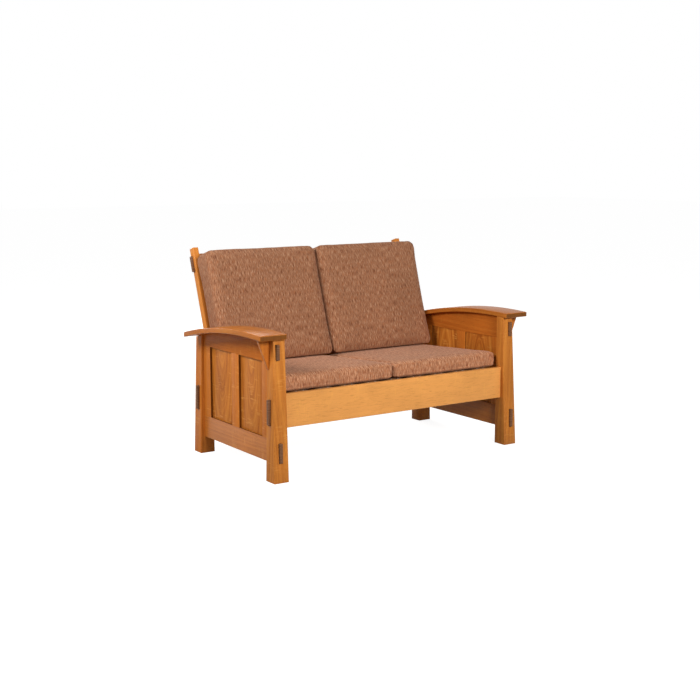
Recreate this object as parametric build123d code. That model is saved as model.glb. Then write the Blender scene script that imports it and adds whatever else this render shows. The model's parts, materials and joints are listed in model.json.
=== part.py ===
from build123d import *
from math import atan2, cos, degrees, radians, sin, sqrt
import os

# Two-seat settle with bowed arms and panelled sides, in millimetres.
# X runs along the seat, +Y points to the back, +Z is up.
# The origin lies on the floor, under the middle of the whole piece.

# Overall sizes
overall_width = 1534.0
overall_depth = 936.0
overall_height = 986.0

# Posts: the outer and the front or back faces taper, the inner faces are plumb
post_foot_width = 75.0
post_head_width = 60.0
front_foot_depth = 76.0
front_head_depth = 48.0
rear_foot_depth = 71.0
rear_head_depth = 57.0
back_overhang = 160.0
post_ease = 2.0

# Bowed arms
arm_width = 137.0
arm_post_setback = 1.0
arm_tail = 38.0
arm_thickness = 23.0
arm_crest_height = 666.0
arm_crest_back = 151.0
arm_fall = 70.0
arm_overhang_front = -7.0
arm_ease = 2.5
arm_bed_gap = 0.2

# Side frames between the posts
side_frame_inset = 23.0
side_frame_thickness = 22.0
bottom_rail_height = 105.0
bottom_rail_lift = 82.0
top_rail_height = 113.0
end_stile_width = 66.0
middle_stile_width = 69.0
panel_thickness = 7.0
panel_reveal = 10.5
panel_tongue = 9.0
panel_play = 0.4

# Corbels under the arms
corbel_thickness = 18.0
corbel_reach = 60.0
corbel_drop = 144.0

# Seat frame
seat_rail_height = 153.0
seat_rail_thickness = 24.0
front_rail_top = 390.0
rear_rail_top = 350.0
front_rail_setback = 38.0
rear_rail_setback = 17.0
rail_ease = 2.0
cleat_width = 22.0
cleat_height = 24.0
stretcher_thickness = 22.0
stretcher_height = 70.0
deck_slat_count = 9
deck_slat_width = 75.0
deck_slat_thickness = 16.0

# Tenons, mortises and the dark caps that close the through mortises
seat_tenon_height = 114.0
seat_tenon_thickness = 18.0
side_tenon_thickness = 16.0
lower_side_tenon_height = 88.0
upper_side_tenon_height = 68.0
upper_side_tenon_rise = 17.0
upper_blind_tenon_height = 32.0
upper_blind_tenon_rise = 10.0
blind_tenon_length = 30.0
joint_play = 0.15
cap_proud = 12.0
cap_seat_depth = 8.0
cap_bevel = 2.5

# Back frame
upright_width = 30.0
upright_depth = 36.0
upright_ease = 1.5
back_rail_thickness = 20.0
back_rail_setback = 13.0
crest_rail_height = 100.0
crest_rail_drop = 29.0
crest_tenon_height = 78.0
crest_tenon_thickness = 15.0
lower_rail_height = 80.0
lower_rail_lift = 45.0
lower_tenon_height = 60.0
lower_tenon_length = 18.0
back_slat_count = 7
back_slat_width = 70.0
back_slat_thickness = 12.0
back_slat_tenon = 14.0

# Stub tenons on the post heads, let into the arms
head_tenon_thickness = 18.0
head_tenon_inset = 8.0
head_tenon_length = 14.0

# Screws that hold the back frame to the rear posts
back_screw_diameter = 8.0
back_screw_head = 14.0
back_screw_head_depth = 6.0
back_screw_length = 58.0
back_screw_lift = 145.0

# Blocks in the corners of the seat frame
corner_block_reach = 84.0
corner_block_height = 80.0
corner_block_lift = 18.0

# Loose cushions
cushion_gap = 0.6
cushion_rest_gap = 0.4
seat_cushion_rear_room = 42.0
seat_cushion_boxing = 60.0
seat_cushion_crown = 24.0
seat_cushion_front = 72.0
seat_cushion_corner = 34.0
back_cushion_drop = 50.0
back_cushion_boxing = 100.0
back_cushion_crown = 34.0
back_cushion_corner = 42.0
back_cushion_inset = 2.0
side_draw_in = 4.0
top_edge_rise = 12.0

# How far a crown reaches in from the edge, as a share of the cushion's shorter side
crown_reach_share = 0.42
crown_angles = (38.0, 78.0)

# Rounds that settle the lean of the back
lean_rounds = 12

# How much of a side's draw has gone at the top of the crown, as a share
draw_fade_share = 0.8

# Values that follow from the sizes above
half_width = overall_width / 2
arm_inner_x = half_width - arm_width
post_inner_x = arm_inner_x - arm_post_setback
arm_under_crest = arm_crest_height - arm_thickness
post_head_z = arm_under_crest
front_taper = front_foot_depth - front_head_depth
rear_taper = rear_foot_depth - rear_head_depth
side_taper = post_foot_width - post_head_width
lower_tenon_mid = bottom_rail_lift + bottom_rail_height / 2
top_rail_foot = arm_under_crest - top_rail_height
upper_side_tenon_foot = top_rail_foot + upper_side_tenon_rise
upper_blind_tenon_foot = top_rail_foot + upper_blind_tenon_rise
upper_tenon_mid = upper_side_tenon_foot + upper_side_tenon_height / 2
foot_front_y = -overall_depth / 2 + cap_proud - front_taper * lower_tenon_mid / post_head_z
front_post_rear_y = foot_front_y + front_foot_depth
rear_post_rear_y = overall_depth / 2 - back_overhang
rear_post_front_y = rear_post_rear_y - rear_foot_depth
post_spacing = rear_post_front_y - front_post_rear_y
side_outer_x = post_inner_x + post_foot_width - side_frame_inset
side_inner_x = side_outer_x - side_frame_thickness
arm_front_y = foot_front_y - arm_overhang_front
arm_rear_y = rear_post_front_y + arm_tail
bow_centre_y = arm_front_y + arm_crest_back
bow_run = arm_rear_y - bow_centre_y
arm_radius = (bow_run**2 + arm_fall**2) / (2 * arm_fall)
bow_centre_z = arm_crest_height - arm_radius
bottom_rail_top = bottom_rail_lift + bottom_rail_height
front_rail_y = foot_front_y + front_rail_setback
front_rail_inner_y = front_rail_y + seat_rail_thickness
rear_rail_y = rear_post_front_y + rear_rail_setback
deck_rake = atan2(front_rail_top - rear_rail_top, rear_rail_y - front_rail_inner_y)
upright_foot_y = rear_rail_y - joint_play
upright_foot_z = rear_rail_top + joint_play
upright_outer_x = post_inner_x - joint_play
upright_inner_x = upright_outer_x - upright_width
panel_mid_x = side_outer_x - panel_reveal - panel_thickness / 2

# The lean follows from the depth, the height and the foot of the uprights: the lower rear
# corner stands at the rear rail, the upper rear corner ends the depth, and the upper front
# corner ends the height.
back_run = overall_depth / 2 - upright_foot_y
back_rise = overall_height - upright_foot_z
lean = atan2(back_run, back_rise)
for _ in range(lean_rounds):
    lean = atan2(back_run, back_rise - upright_depth * sin(lean))
upright_length = back_run / sin(lean)
back_top_y = overall_depth / 2 - upright_depth * cos(lean)

# The back plane holds the fronts of the uprights: x across, y up the lean, z to the front
back_plane = Plane(
    origin=(0, back_top_y, overall_height),
    x_dir=(1, 0, 0),
    z_dir=(0, -cos(lean), sin(lean)),
)
# The deck plane holds the tops of the seat slats: x across, y to the front, z up
deck_plane = Plane(
    origin=(0, front_rail_inner_y, front_rail_top),
    x_dir=(-1, 0, 0),
    z_dir=(0, sin(deck_rake), cos(deck_rake)),
)


def block(x_span, y_span, z_span):
    """Box between two values on each axis."""
    size = [span[1] - span[0] for span in (x_span, y_span, z_span)]
    middle = [(span[0] + span[1]) / 2 for span in (x_span, y_span, z_span)]
    return Pos(*middle) * Box(*size)


def around(middle, size):
    """Two ends of a length that is centred on a value."""
    return (middle - size / 2, middle + size / 2)


def widened(span, play):
    """The same two ends with play added outside each."""
    return (span[0] - play, span[1] + play)


def long_edges(shape, least):
    """Edges that are longer than a given length."""
    return shape.edges().filter_by(lambda edge: edge.length > least)


def across(profile, x_min, x_max):
    """Solid of a profile in the plane of Y and Z, between two values of X."""
    return extrude(Plane.YZ.offset(x_min) * profile, amount=x_max - x_min)


def under_the_arm(gap):
    """Round bar whose upper skin is the arm's underside, less a gap."""
    bar = Cylinder(arm_radius - arm_thickness - gap, overall_width)
    return Pos(0, bow_centre_y, bow_centre_z) * Rot(0, 90, 0) * bar


def front_face_y(height):
    """Y of a front post's front face at a height."""
    return foot_front_y + front_taper * height / post_head_z


def outer_face_x(height):
    """X of a right-hand post's outer face at a height."""
    return post_inner_x + post_foot_width - side_taper * height / post_head_z


def deck_z(y):
    """Height of the deck's top at a value of Y."""
    return front_rail_top - (y - front_rail_inner_y) * sin(deck_rake) / cos(deck_rake)


def tapered_post(plumb_y, foot_y, head_y):
    """Post with two plumb faces and two tapered ones, cut to the arm's underside."""
    foot_span = sorted((plumb_y, foot_y))
    head_span = sorted((plumb_y, head_y))
    foot_x = (post_inner_x, post_inner_x + post_foot_width)
    head_x = (post_inner_x, post_inner_x + post_head_width)
    rings = []
    for x_span, y_span, z in ((foot_x, foot_span, 0), (head_x, head_span, post_head_z)):
        corners = [(x_span[i], y_span[j]) for i, j in ((0, 0), (1, 0), (1, 1), (0, 1))]
        rings.append(Pos(0, 0, z) * make_face(Polyline(*corners, close=True)))
    post = loft(rings, ruled=True)
    post = chamfer(long_edges(post, post_head_z / 2), post_ease)
    return post & under_the_arm(arm_bed_gap)


def side_tenon_spans(rail, end, play):
    """Section of a side rail's tenon at its front or rear end: X span and Z span."""
    x_span = widened(around((side_outer_x + side_inner_x) / 2, side_tenon_thickness), play)
    if rail == "lower":
        z_span = around(lower_tenon_mid, lower_side_tenon_height)
    elif end == "front":
        z_span = around(upper_tenon_mid, upper_side_tenon_height)
    else:
        z_span = (upper_blind_tenon_foot, upper_blind_tenon_foot + upper_blind_tenon_height)
    return x_span, widened(z_span, play)


def seat_tenon_spans(rail, play):
    """Section of a seat rail's tenon: Y span and Z span."""
    rail_y = front_rail_y if rail == "front" else rear_rail_y
    rail_top = front_rail_top if rail == "front" else rear_rail_top
    y_span = around(rail_y + seat_rail_thickness / 2, seat_tenon_thickness)
    z_span = around(rail_top - seat_rail_height / 2, seat_tenon_height)
    return widened(y_span, play), widened(z_span, play)


def head_tenon(end, play):
    """Stub tenon on the head of the right front or rear post."""
    if end == "front":
        y_span = (front_post_rear_y - front_head_depth, front_post_rear_y)
    else:
        y_span = (rear_post_front_y, rear_post_front_y + rear_head_depth)
    y_span = widened(y_span, play - head_tenon_inset)
    middle_x = (post_inner_x + side_tenon_spans("upper", end, 0)[0][0]) / 2
    reach = sqrt((arm_radius - arm_thickness) ** 2 - (sum(y_span) / 2 - bow_centre_y) ** 2)
    under_z = bow_centre_z + reach
    z_span = (under_z - head_tenon_length, under_z + head_tenon_length + play)
    return block(widened(around(middle_x, head_tenon_thickness), play), y_span, z_span)


def back_screw(play):
    """Screw through the right upright into the rear post, its head sunk in the upright."""
    head = Cylinder(back_screw_head / 2 + play, back_screw_head_depth)
    shank_length = back_screw_length - back_screw_head_depth + play
    shank = Cylinder(back_screw_diameter / 2 + play, shank_length)
    head = Pos(upright_inner_x + back_screw_head_depth / 2, 0, 0) * Rot(0, 90, 0) * head
    middle = upright_inner_x + back_screw_head_depth + shank_length / 2
    shank = Pos(middle, 0, 0) * Rot(0, 90, 0) * shank
    place = Pos(0, back_screw_lift - upright_length, -upright_depth / 2)
    return back_plane * place * (head + shank)


def front_post():
    """Right front post with its mortises."""
    post = tapered_post(front_post_rear_y, foot_front_y, foot_front_y + front_taper)
    through_y = (foot_front_y - cap_proud, front_post_rear_y + cap_proud)
    for rail in ("lower", "upper"):
        x_span, z_span = side_tenon_spans(rail, "front", joint_play)
        post -= block(x_span, through_y, z_span)
    y_span, z_span = seat_tenon_spans("front", joint_play)
    post -= block((post_inner_x - cap_proud, half_width), y_span, z_span)
    return post + head_tenon("front", 0)


def rear_post():
    """Right rear post with its mortises and screw hole."""
    post = tapered_post(rear_post_front_y, rear_post_rear_y, rear_post_rear_y - rear_taper)
    blind_y = (rear_post_front_y - cap_proud, rear_post_front_y + blind_tenon_length + joint_play)
    for rail in ("lower", "upper"):
        x_span, z_span = side_tenon_spans(rail, "rear", joint_play)
        post -= block(x_span, blind_y, z_span)
    y_span, z_span = seat_tenon_spans("rear", joint_play)
    post -= block((post_inner_x - cap_proud, half_width), y_span, z_span)
    post -= back_screw(joint_play)
    return post + head_tenon("rear", 0)


def bow(y_min, y_max, outer_radius, inner_radius):
    """Face in the plane of Y and Z between two arcs and two plumb ends."""
    def rim(radius, y):
        return (y, bow_centre_z + sqrt(radius**2 - (y - bow_centre_y) ** 2))

    middle = (y_min + y_max) / 2
    upper = ThreePointArc(*[rim(outer_radius, y) for y in (y_min, middle, y_max)])
    lower = ThreePointArc(*[rim(inner_radius, y) for y in (y_max, middle, y_min)])
    ends = [Line(upper @ 1, lower @ 0), Line(lower @ 1, upper @ 0)]
    return make_face([upper, ends[0], lower, ends[1]])


def arm():
    """Right arm: one board bent to the bow, with eased edges and a mortise for each post."""
    profile = bow(arm_front_y, arm_rear_y, arm_radius, arm_radius - arm_thickness)
    board = across(profile, arm_inner_x, half_width)
    board = chamfer(board.edges(), arm_ease)
    for end in ("front", "rear"):
        board -= head_tenon(end, joint_play)
    return board


def panel_openings():
    """Y spans of the two panel openings, front one first."""
    clear = post_spacing - 2 * end_stile_width - middle_stile_width
    front_start = front_post_rear_y + end_stile_width
    rear_start = front_start + clear / 2 + middle_stile_width
    return [(start, start + clear / 2) for start in (front_start, rear_start)]


def panel(opening, play):
    """Flat panel with its tongues in the grooves round an opening."""
    x_span = widened(around(panel_mid_x, panel_thickness), play / 2)
    reach = panel_tongue + play
    return block(x_span, widened(opening, reach), (bottom_rail_top - reach, top_rail_foot + reach))


def stile(y_span, play):
    """Stile of the side frame with stub tenons the width of the panel groove."""
    x_span = (side_inner_x, side_outer_x)
    post = block(x_span, y_span, (bottom_rail_top, top_rail_foot))
    stub_x = widened(around(panel_mid_x, panel_thickness), play)
    stub_y = widened((y_span[0] + panel_tongue, y_span[1] - panel_tongue), play)
    stub_z = widened((bottom_rail_top - panel_tongue, top_rail_foot + panel_tongue), play)
    return post + block(stub_x, stub_y, stub_z)


def stile_spans():
    """Y spans of the front, middle and rear stiles."""
    front_opening, rear_opening = panel_openings()
    return {
        "front": (front_post_rear_y, front_opening[0]),
        "middle": (front_opening[1], rear_opening[0]),
        "rear": (rear_opening[1], rear_post_front_y),
    }


def panel_grooves():
    """Everything that the grooves of a side frame take in."""
    return [panel(opening, panel_play) for opening in panel_openings()]


def side_stile(place):
    """Right-hand stile, grooved where it holds a panel."""
    piece = stile(stile_spans()[place], 0)
    for groove in panel_grooves():
        piece -= groove
    return piece


def side_rail(rail):
    """Right-hand rail: a through tenon at the front post, a blind one at the rear post."""
    y_span = (front_post_rear_y, rear_post_front_y)
    if rail == "lower":
        board = block((side_inner_x, side_outer_x), y_span, (bottom_rail_lift, bottom_rail_top))
        mid = lower_tenon_mid
    else:
        board = block((side_inner_x, side_outer_x), y_span, (top_rail_foot, arm_crest_height))
        board &= under_the_arm(arm_bed_gap)
        mid = upper_tenon_mid
    x_span, z_span = side_tenon_spans(rail, "front", 0)
    tenon_front = front_face_y(mid) + cap_seat_depth + joint_play
    board += block(x_span, (tenon_front, front_post_rear_y), z_span)
    x_span, z_span = side_tenon_spans(rail, "rear", 0)
    tenon_rear = rear_post_front_y + blind_tenon_length
    board += block(x_span, (rear_post_front_y, tenon_rear), z_span)
    for groove in panel_grooves():
        board -= groove
    for span in stile_spans().values():
        board -= block(
            widened(around(panel_mid_x, panel_thickness), joint_play),
            widened((span[0] + panel_tongue, span[1] - panel_tongue), joint_play),
            widened((bottom_rail_top - panel_tongue, top_rail_foot + panel_tongue), joint_play),
        )
    return board


def corbel():
    """Right-hand bracket between the front post's outer face and the arm."""
    y_span = (front_post_rear_y - corbel_thickness, front_post_rear_y)
    top = arm_crest_height
    foot = arm_under_crest - corbel_drop
    root = post_inner_x
    tip = outer_face_x(post_head_z) + corbel_reach
    heel = outer_face_x(foot)
    corners = ((heel, foot), (tip, arm_under_crest), (tip, top), (root, top), (root, foot))
    profile = Plane.XZ.offset(-y_span[0]) * make_face(Polyline(*corners, close=True))
    plate = extrude(profile, amount=-corbel_thickness)
    plate &= under_the_arm(arm_bed_gap)
    plain_post = tapered_face_cutter()
    return plate - plain_post


def tapered_face_cutter():
    """Solid that fills everything inboard of the right post's outer face."""
    corners = (
        (0, 0),
        (outer_face_x(0), 0),
        (outer_face_x(arm_crest_height), arm_crest_height),
        (0, arm_crest_height),
    )
    profile = Plane.XZ.offset(-foot_front_y) * make_face(Polyline(*corners, close=True))
    return extrude(profile, amount=-post_spacing)


def cap(length, thickness, height):
    """Dark cap for a through mortise: its face points to +Z of its own place."""
    piece = Box(thickness, height, length)
    face = piece.faces().sort_by(Axis.Z)[-1]
    return chamfer(face.edges(), cap_bevel)


def front_cap(rail):
    """Cap on the right post's front face, in line with a side rail."""
    x_span, z_span = side_tenon_spans(rail, "front", 0)
    mid_x, mid_z = (sum(x_span) / 2, sum(z_span) / 2)
    y_front = front_face_y(mid_z) - cap_proud
    length = cap_proud + cap_seat_depth
    piece = cap(length, x_span[1] - x_span[0], z_span[1] - z_span[0])
    return Pos(mid_x, y_front + length / 2, mid_z) * Rot(90, 0, 0) * piece


def side_cap(rail):
    """Cap on the right post's outer face, in line with a seat rail."""
    y_span, z_span = seat_tenon_spans(rail, 0)
    mid_y, mid_z = (sum(y_span) / 2, sum(z_span) / 2)
    x_face = outer_face_x(mid_z) + cap_proud
    length = cap_proud + cap_seat_depth
    piece = cap(length, z_span[1] - z_span[0], y_span[1] - y_span[0])
    return Pos(x_face - length / 2, mid_y, mid_z) * Rot(0, 90, 0) * piece


def seat_rail(rail):
    """Front or rear rail of the seat with a through tenon at each end."""
    rail_y = front_rail_y if rail == "front" else rear_rail_y
    rail_top = front_rail_top if rail == "front" else rear_rail_top
    y_span = (rail_y, rail_y + seat_rail_thickness)
    z_span = (rail_top - seat_rail_height, rail_top)
    board = block((-post_inner_x, post_inner_x), y_span, z_span)
    board = chamfer(long_edges(board, post_inner_x), rail_ease)
    tenon_y, tenon_z = seat_tenon_spans(rail, 0)
    end = outer_face_x(sum(tenon_z) / 2) - cap_seat_depth - joint_play
    return board + block((-end, end), tenon_y, tenon_z)


def cleat(rail):
    """Strip on a seat rail's inner face; its top lies in the rake of the deck."""
    if rail == "front":
        y_span = (front_rail_inner_y, front_rail_inner_y + cleat_width)
    else:
        y_span = (rear_rail_y - cleat_width, rear_rail_y)
    sink = deck_slat_thickness / cos(deck_rake)
    tops = [deck_z(y) - sink for y in y_span]
    foot = min(tops) - cleat_height
    corners = ((y_span[0], foot), (y_span[1], foot), (y_span[1], tops[1]), (y_span[0], tops[0]))
    profile = make_face(Polyline(*corners, close=True))
    end = post_inner_x - joint_play
    return across(profile, -end, end)


def centre_stretcher(cleats):
    """Board under the middle slat from rail to rail, notched over the cleats."""
    sink = deck_slat_thickness / cos(deck_rake)
    y_span = (front_rail_inner_y, rear_rail_y)
    tops = [deck_z(y) - sink for y in y_span]
    corners = (
        (y_span[0], tops[0] - stretcher_height),
        (y_span[1], tops[1] - stretcher_height),
        (y_span[1], tops[1]),
        (y_span[0], tops[0]),
    )
    profile = make_face(Polyline(*corners, close=True))
    board = across(profile, -stretcher_thickness / 2, stretcher_thickness / 2)
    for strip in cleats:
        board -= strip
    return board


def corner_block(rail):
    """Right-hand block in a corner of the seat frame, cut round the post."""
    if rail == "front":
        rail_face, post_face, way = front_rail_inner_y, front_post_rear_y, 1
        foot = front_rail_top - seat_rail_height + corner_block_lift
    else:
        rail_face, post_face, way = rear_rail_y, rear_post_front_y, -1
        foot = rear_rail_top - seat_rail_height + corner_block_lift
    corners = (
        (side_inner_x - corner_block_reach, rail_face),
        (post_inner_x, rail_face),
        (post_inner_x, post_face),
        (side_inner_x, post_face),
        (side_inner_x, rail_face + way * corner_block_reach),
    )
    face = make_face(Polyline(*corners, close=True))
    return Pos(0, 0, foot) * extrude(face, amount=corner_block_height, dir=(0, 0, 1))


def deck_slat_places():
    """X of each seat slat's centre line, evenly spread between the posts."""
    pitch = (2 * post_inner_x - deck_slat_width) / deck_slat_count
    first = -pitch * (deck_slat_count - 1) / 2
    return [first + pitch * i for i in range(deck_slat_count)]


def deck_slat_run():
    """Where a seat slat starts and ends in the deck plane."""
    run = (rear_rail_y - front_rail_inner_y) / cos(deck_rake)
    rise = deck_slat_thickness * sin(deck_rake)
    return (-run + joint_play + rise, -joint_play - rise)


def deck_slat(x):
    """Seat slat from cleat to cleat."""
    y_span = deck_slat_run()
    board = block(around(-x, deck_slat_width), y_span, (-deck_slat_thickness, 0))
    return deck_plane * chamfer(long_edges(board, seat_rail_height), rail_ease)


def back_rail_spans(rail):
    """Back-plane spans of a back rail: up the lean and through its thickness."""
    out_span = (-back_rail_setback - back_rail_thickness, -back_rail_setback)
    if rail == "crest":
        return (-crest_rail_drop - crest_rail_height, -crest_rail_drop), out_span
    foot = lower_rail_lift - upright_length
    return (foot, foot + lower_rail_height), out_span


def back_tenon_spans(rail, play):
    """Back-plane spans of a back rail's tenon."""
    up_span, out_span = back_rail_spans(rail)
    height = crest_tenon_height if rail == "crest" else lower_tenon_height
    up_span = widened(around(sum(up_span) / 2, height), play)
    return up_span, widened(around(sum(out_span) / 2, crest_tenon_thickness), play)


def back_slat_places():
    """X of each back slat's centre line, with equal gaps between the uprights."""
    gap = (2 * upright_inner_x - back_slat_count * back_slat_width) / (back_slat_count + 1)
    pitch = gap + back_slat_width
    first = -pitch * (back_slat_count - 1) / 2
    return [first + pitch * i for i in range(back_slat_count)]


def back_slat(x, play):
    """Upright slat of the back, let into both back rails."""
    crest_span, out_span = back_rail_spans("crest")
    lower_span = back_rail_spans("lower")[0]
    reach = back_slat_tenon + play
    up_span = (lower_span[1] - reach, crest_span[0] + reach)
    depth_span = widened(around(sum(out_span) / 2, back_slat_thickness), play)
    return back_plane * block(widened(around(x, back_slat_width), play), up_span, depth_span)


def back_upright():
    """Right upright of the back, with its mortises and screw hole."""
    x_span = (upright_inner_x, upright_outer_x)
    bar = block(x_span, (-upright_length, 0), (-upright_depth, 0))
    bar = chamfer(long_edges(bar, upright_length / 2), upright_ease)
    bar = chamfer(bar.faces().sort_by(Axis.Y)[-1].edges(), upright_ease)
    crest_up, crest_out = back_tenon_spans("crest", joint_play)
    bar -= block((0, half_width), crest_up, crest_out)
    lower_up, lower_out = back_tenon_spans("lower", joint_play)
    blind_end = upright_inner_x + lower_tenon_length + joint_play
    bar -= block((0, blind_end), lower_up, lower_out)
    return back_plane * bar - back_screw(joint_play)


def back_rail(rail):
    """Crest or lower rail of the back, with slat mortises."""
    up_span, out_span = back_rail_spans(rail)
    board = block((-upright_inner_x, upright_inner_x), up_span, out_span)
    board = chamfer(long_edges(board, upright_inner_x), upright_ease)
    tenon_up, tenon_out = back_tenon_spans(rail, 0)
    if rail == "crest":
        end = upright_outer_x - cap_seat_depth - joint_play
    else:
        end = upright_inner_x + lower_tenon_length
    board = back_plane * (board + block((-end, end), tenon_up, tenon_out))
    for x in back_slat_places():
        board -= back_slat(x, joint_play)
    return board


def crest_cap():
    """Cap on the right upright's outer face, in line with the crest rail."""
    up_span, out_span = back_tenon_spans("crest", 0)
    length = cap_proud + cap_seat_depth
    piece = cap(length, out_span[1] - out_span[0], up_span[1] - up_span[0])
    middle = upright_outer_x + cap_proud - length / 2
    return back_plane * Pos(middle, sum(up_span) / 2, sum(out_span) / 2) * Rot(0, 90, 0) * piece


def cushion_ring(x_span, y_span, corner, draws, height):
    """Closed outline of a cushion at one height: four gentle arcs and rounded corners."""
    (x_min, x_max), (y_min, y_max) = x_span, y_span
    corners = [(x_min, y_min), (x_max, y_min), (x_max, y_max), (x_min, y_max)]
    ways = ((0, 1), (-1, 0), (0, -1), (1, 0))
    arcs = []
    for index, (way, draw) in enumerate(zip(ways, draws)):
        start, end = corners[index], corners[(index + 1) % 4]
        middle = tuple((start[axis] + end[axis]) / 2 + way[axis] * draw for axis in (0, 1))
        arcs.append(ThreePointArc(start, middle, end))
    face = make_face(arcs)
    return Pos(0, 0, height) * fillet(face.vertices(), corner)


def cushion(width, depth, boxing, crown, corner, draws, flare):
    """Boxed cushion from its flat face up: plain boxing, then a domed top.

    It is centred on X, and its low-Y side starts at zero. The draws say how far each
    side is drawn in between its corners, in the order of the sides at low Y, high X,
    high Y and low X; a negative one swells out. The flare moves the low-Y side out
    by its share of the height.
    """
    reach = min(width, depth) * crown_reach_share
    levels = [(0, 0), (boxing, 0)]
    for angle in (radians(value) for value in crown_angles):
        levels.append((boxing + crown * sin(angle), reach * (1 - cos(angle))))
    top = levels[-1][0]
    rings = []
    for height, inset in levels:
        fading = [draw * (1 - draw_fade_share * height / top) for draw in draws]
        x_span = (inset - width / 2, width / 2 - inset)
        y_span = (inset - flare * height, depth - inset)
        rings.append(cushion_ring(x_span, y_span, corner, fading, height))
    return loft(rings, ruled=True)


def seat_cushion():
    """Right seat cushion, lying on the deck slats."""
    width = post_inner_x - cushion_gap
    front_y = foot_front_y + seat_cushion_front
    depth = (rear_rail_y - seat_cushion_rear_room - front_y) / cos(deck_rake)
    draws = (side_draw_in, side_draw_in, side_draw_in, side_draw_in)
    body = cushion(
        width, depth, seat_cushion_boxing, seat_cushion_crown,
        seat_cushion_corner, draws, 0,
    )
    rear = (front_rail_inner_y - rear_rail_y + seat_cushion_rear_room) / cos(deck_rake)
    return deck_plane * Pos(-post_inner_x / 2, rear, cushion_rest_gap) * body


def back_cushion_foot():
    """Back-plane height at which the back cushion's underside meets the uprights.

    The underside lies in the rake of the deck, just over the crown of the seat cushion.
    """
    stack = seat_cushion_boxing + seat_cushion_crown + 2 * cushion_rest_gap
    level = (overall_height - deck_z(back_top_y)) * cos(deck_rake)
    return -(level - stack) / cos(lean - deck_rake)


def back_cushion():
    """Right back cushion, leaning on the uprights and standing on the seat cushion."""
    width = post_inner_x - cushion_gap - back_cushion_inset
    foot = back_cushion_foot()
    flare = sin(lean - deck_rake) / cos(lean - deck_rake)
    draws = (side_draw_in, side_draw_in, -top_edge_rise, side_draw_in)
    body = cushion(
        width, -back_cushion_drop - foot, back_cushion_boxing, back_cushion_crown,
        back_cushion_corner, draws, flare,
    )
    return back_plane * Pos((width + cushion_gap) / 2, foot, cushion_rest_gap) * body


def mirrored(shape):
    """The left-hand copy of a right-hand piece."""
    return mirror(shape, about=Plane.YZ)


def both_sides(name, shape):
    """Right-hand piece and its left-hand copy, each under its own name."""
    return {f"{name}_left": mirrored(shape), f"{name}_right": shape}


def pair(shape):
    """Right-hand piece and its left-hand copy as one group."""
    return Compound(children=[mirrored(shape), shape])


def make_nodes():
    """Every piece of the settle under its own name."""
    cleats = {rail: cleat(rail) for rail in ("front", "rear")}
    nodes = {}
    nodes.update(both_sides("front_post", front_post()))
    nodes.update(both_sides("rear_post", rear_post()))
    nodes.update(both_sides("arm", arm()))
    nodes.update(both_sides("corbel", corbel()))
    nodes.update(both_sides("side_bottom_rail", side_rail("lower")))
    nodes.update(both_sides("side_top_rail", side_rail("upper")))
    for place in ("front", "middle", "rear"):
        nodes.update(both_sides(f"side_stile_{place}", side_stile(place)))
    for place, opening in zip(("front", "rear"), panel_openings()):
        nodes.update(both_sides(f"side_panel_{place}", panel(opening, 0)))
    nodes["front_seat_rail"] = seat_rail("front")
    nodes["rear_seat_rail"] = seat_rail("rear")
    nodes["deck_cleat_front"] = cleats["front"]
    nodes["deck_cleat_rear"] = cleats["rear"]
    nodes["centre_stretcher"] = centre_stretcher(cleats.values())
    blocks = [corner_block(rail) for rail in ("front", "rear")]
    nodes["corner_blocks"] = Compound(children=[*blocks, *[mirrored(item) for item in blocks]])
    for number, x in enumerate(deck_slat_places(), start=1):
        nodes[f"deck_slat_{number}"] = deck_slat(x)
    nodes.update(both_sides("back_upright", back_upright()))
    nodes["crest_rail"] = back_rail("crest")
    nodes["lower_back_rail"] = back_rail("lower")
    for number, x in enumerate(back_slat_places(), start=1):
        nodes[f"back_slat_{number}"] = back_slat(x, 0)
    nodes["lower_side_tenon_caps"] = pair(front_cap("lower"))
    nodes["upper_side_tenon_caps"] = pair(front_cap("upper"))
    nodes["front_seat_tenon_caps"] = pair(side_cap("front"))
    nodes["rear_seat_tenon_caps"] = pair(side_cap("rear"))
    nodes["crest_tenon_caps"] = pair(crest_cap())
    nodes["back_screws"] = pair(back_screw(0))
    nodes.update(both_sides("seat_cushion", seat_cushion()))
    nodes.update(both_sides("back_cushion", back_cushion()))
    return nodes


os.makedirs("parts", exist_ok=True)
for node_name, node_shape in make_nodes().items():
    export_step(node_shape, f"parts/{node_name}.step")
print("rake of the deck in degrees", round(degrees(deck_rake), 4))
print("lean of the back in degrees", round(degrees(lean), 4))
print("length of an upright", round(upright_length, 1))
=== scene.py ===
import json
import math

import bmesh
import bpy
import numpy as np
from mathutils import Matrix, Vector, noise

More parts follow.
